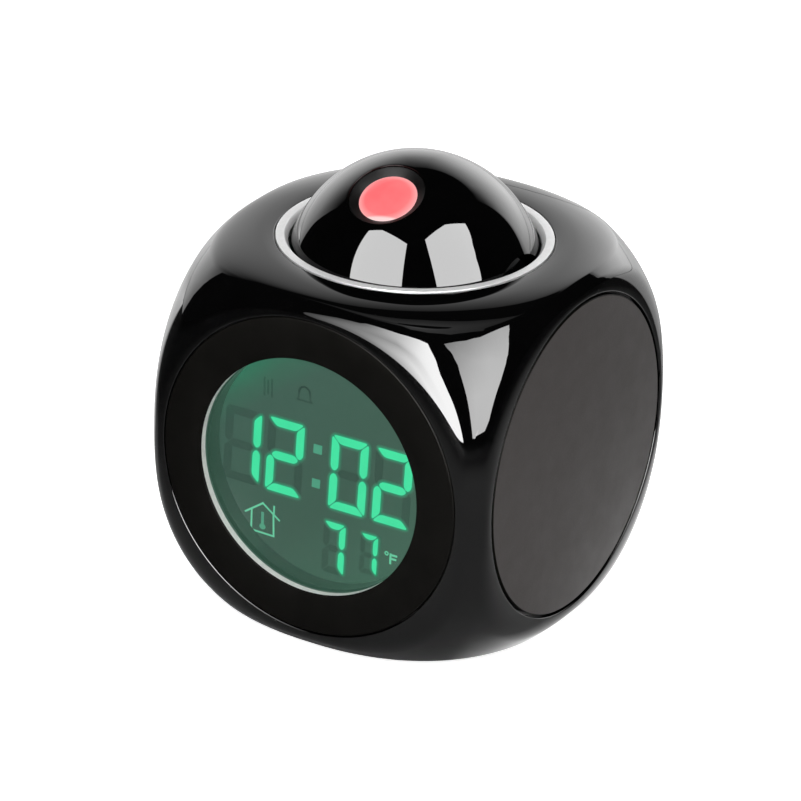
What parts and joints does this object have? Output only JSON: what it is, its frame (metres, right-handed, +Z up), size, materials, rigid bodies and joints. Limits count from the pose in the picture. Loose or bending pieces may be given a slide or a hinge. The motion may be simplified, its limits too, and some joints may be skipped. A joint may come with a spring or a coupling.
{
  "type": "projection alarm clock",
  "caption": "Rounded cube desk clock with a round backlit display window, flush side discs and a turning, tilting, pressable ball projector set in a top ring.",
  "frame": {"origin": "middle of the footprint on the table, at the feet", "axes": "+Z up, display faces -Y, plain right-hand disc faces +X"},
  "size_m": [0.08, 0.0808, 0.0954],
  "materials": {
    "case_black": "high gloss",
    "bezel_black": "satin",
    "disc_grey": "matt",
    "trim_grey": "matt",
    "ring_silver": "satin silver",
    "clear_window": "clear",
    "shroud_green": "satin",
    "display_glass": "backlit",
    "white_plastic": "satin",
    "light_guide": "diffusing",
    "led_green": "clear tinted",
    "connector_pink": "matt",
    "board_green": "solder mask",
    "chip_black": "matt",
    "steel": "bright",
    "key_grey": "satin",
    "switch_black": "satin",
    "cone_grey": "matt",
    "magnet_grey": "ground",
    "inner_black": "satin",
    "cell_jacket": "gloss film",
    "foot_rubber": "matt",
    "acetal_white": "satin",
    "lens_red": "clear, lit red",
    "film_glass": "clear",
    "condenser_clear": "clear",
    "led_red": "clear tinted"
  },
  "bodies": {
    "case": {"main_shell": "case_black", "rear_cover": "case_black", "front_bezel": "bezel_black", "window_trim": "trim_grey", "lcd_window": "clear_window", "lcd_shroud": "shroud_green", "lcd_glass": "display_glass", "lcd_frame": "white_plastic", "light_guide": "light_guide", "backlight_leds": "led_green", "zebra_strip": "connector_pink", "main_board": "board_green", "voice_chip": "chip_black", "crystal": "steel", "board_screws": "steel", "side_panel_right": "disc_grey", "side_panel_left": "disc_grey", "rear_panel": "disc_grey", "base_panel": "disc_grey", "top_ring": "ring_silver", "key_board": "board_green", "key_screws": "steel", "tact_switches": "switch_black", "slide_switch": "steel", "speaker_frame": "steel", "speaker_cone": "cone_grey", "speaker_magnet": "magnet_grey", "battery_tray": "inner_black", "cell_a": "cell_jacket", "cell_b": "cell_jacket", "cell_c": "cell_jacket", "contact_springs": "steel", "contact_plates": "steel", "feet": "foot_rubber", "case_screws": "steel", "ball_bridge": "inner_black", "bridge_screws": "steel", "top_board": "board_green", "talk_switch": "switch_black"},
    "key_mode": {"key_mode": "key_grey"},
    "key_set": {"key_set": "key_grey"},
    "key_up": {"key_up": "key_grey"},
    "key_down": {"key_down": "key_grey"},
    "projection_knob": {"projection_knob": "key_grey"},
    "battery_door": {"battery_door": "disc_grey"},
    "plunger": {"plunger": "acetal_white", "return_spring": "steel"},
    "yoke": {"yoke": "inner_black", "stem_clip": "steel"},
    "ball": {"ball_pins": "steel", "ball_top": "case_black", "ball_bottom": "case_black", "lens_barrel": "inner_black", "proj_lens": "lens_red", "film_holder": "inner_black", "proj_lcd": "film_glass", "condenser": "condenser_clear", "proj_led": "led_red", "proj_led_board": "board_green"}
  },
  "joints": [
    {"name": "key_mode_press", "type": "slide", "parent": "case", "child": "key_mode", "axis": [0, -1, 0], "range_m": [0, 0.0008], "stiffness_N_per_m": 1500, "springref_m": -0.0006},
    {"name": "key_set_press", "type": "slide", "parent": "case", "child": "key_set", "axis": [0, -1, 0], "range_m": [0, 0.0008], "stiffness_N_per_m": 1500, "springref_m": -0.0006},
    {"name": "key_up_press", "type": "slide", "parent": "case", "child": "key_up", "axis": [0, -1, 0], "range_m": [0, 0.0008], "stiffness_N_per_m": 1500, "springref_m": -0.0006},
    {"name": "key_down_press", "type": "slide", "parent": "case", "child": "key_down", "axis": [0, -1, 0], "range_m": [0, 0.0008], "stiffness_N_per_m": 1500, "springref_m": -0.0006},
    {"name": "projection_slide", "type": "slide", "parent": "case", "child": "projection_knob", "axis": [1, 0, 0], "range_m": [0, 0.004]},
    {"name": "battery_door_lift", "type": "slide", "parent": "case", "child": "battery_door", "axis": [0, 0, -1], "range_m": [0, 0.02]},
    {"name": "ball_press", "type": "slide", "parent": "case", "child": "plunger", "axis": [0, 0, -1], "range_m": [0, 0.0012], "stiffness_N_per_m": 900, "springref_m": -0.003, "deforming": ["return_spring"]},
    {"name": "ball_turn", "type": "hinge", "parent": "plunger", "child": "yoke", "pos_m": [0, 0, 0.045], "axis": [0, 0, 1], "range_deg": [-90, 90]},
    {"name": "ball_tilt", "type": "hinge", "parent": "yoke", "child": "ball", "pos_m": [0, 0, 0.06855], "axis": [1, 0, 0], "range_deg": [-27, 20]}
  ]
}
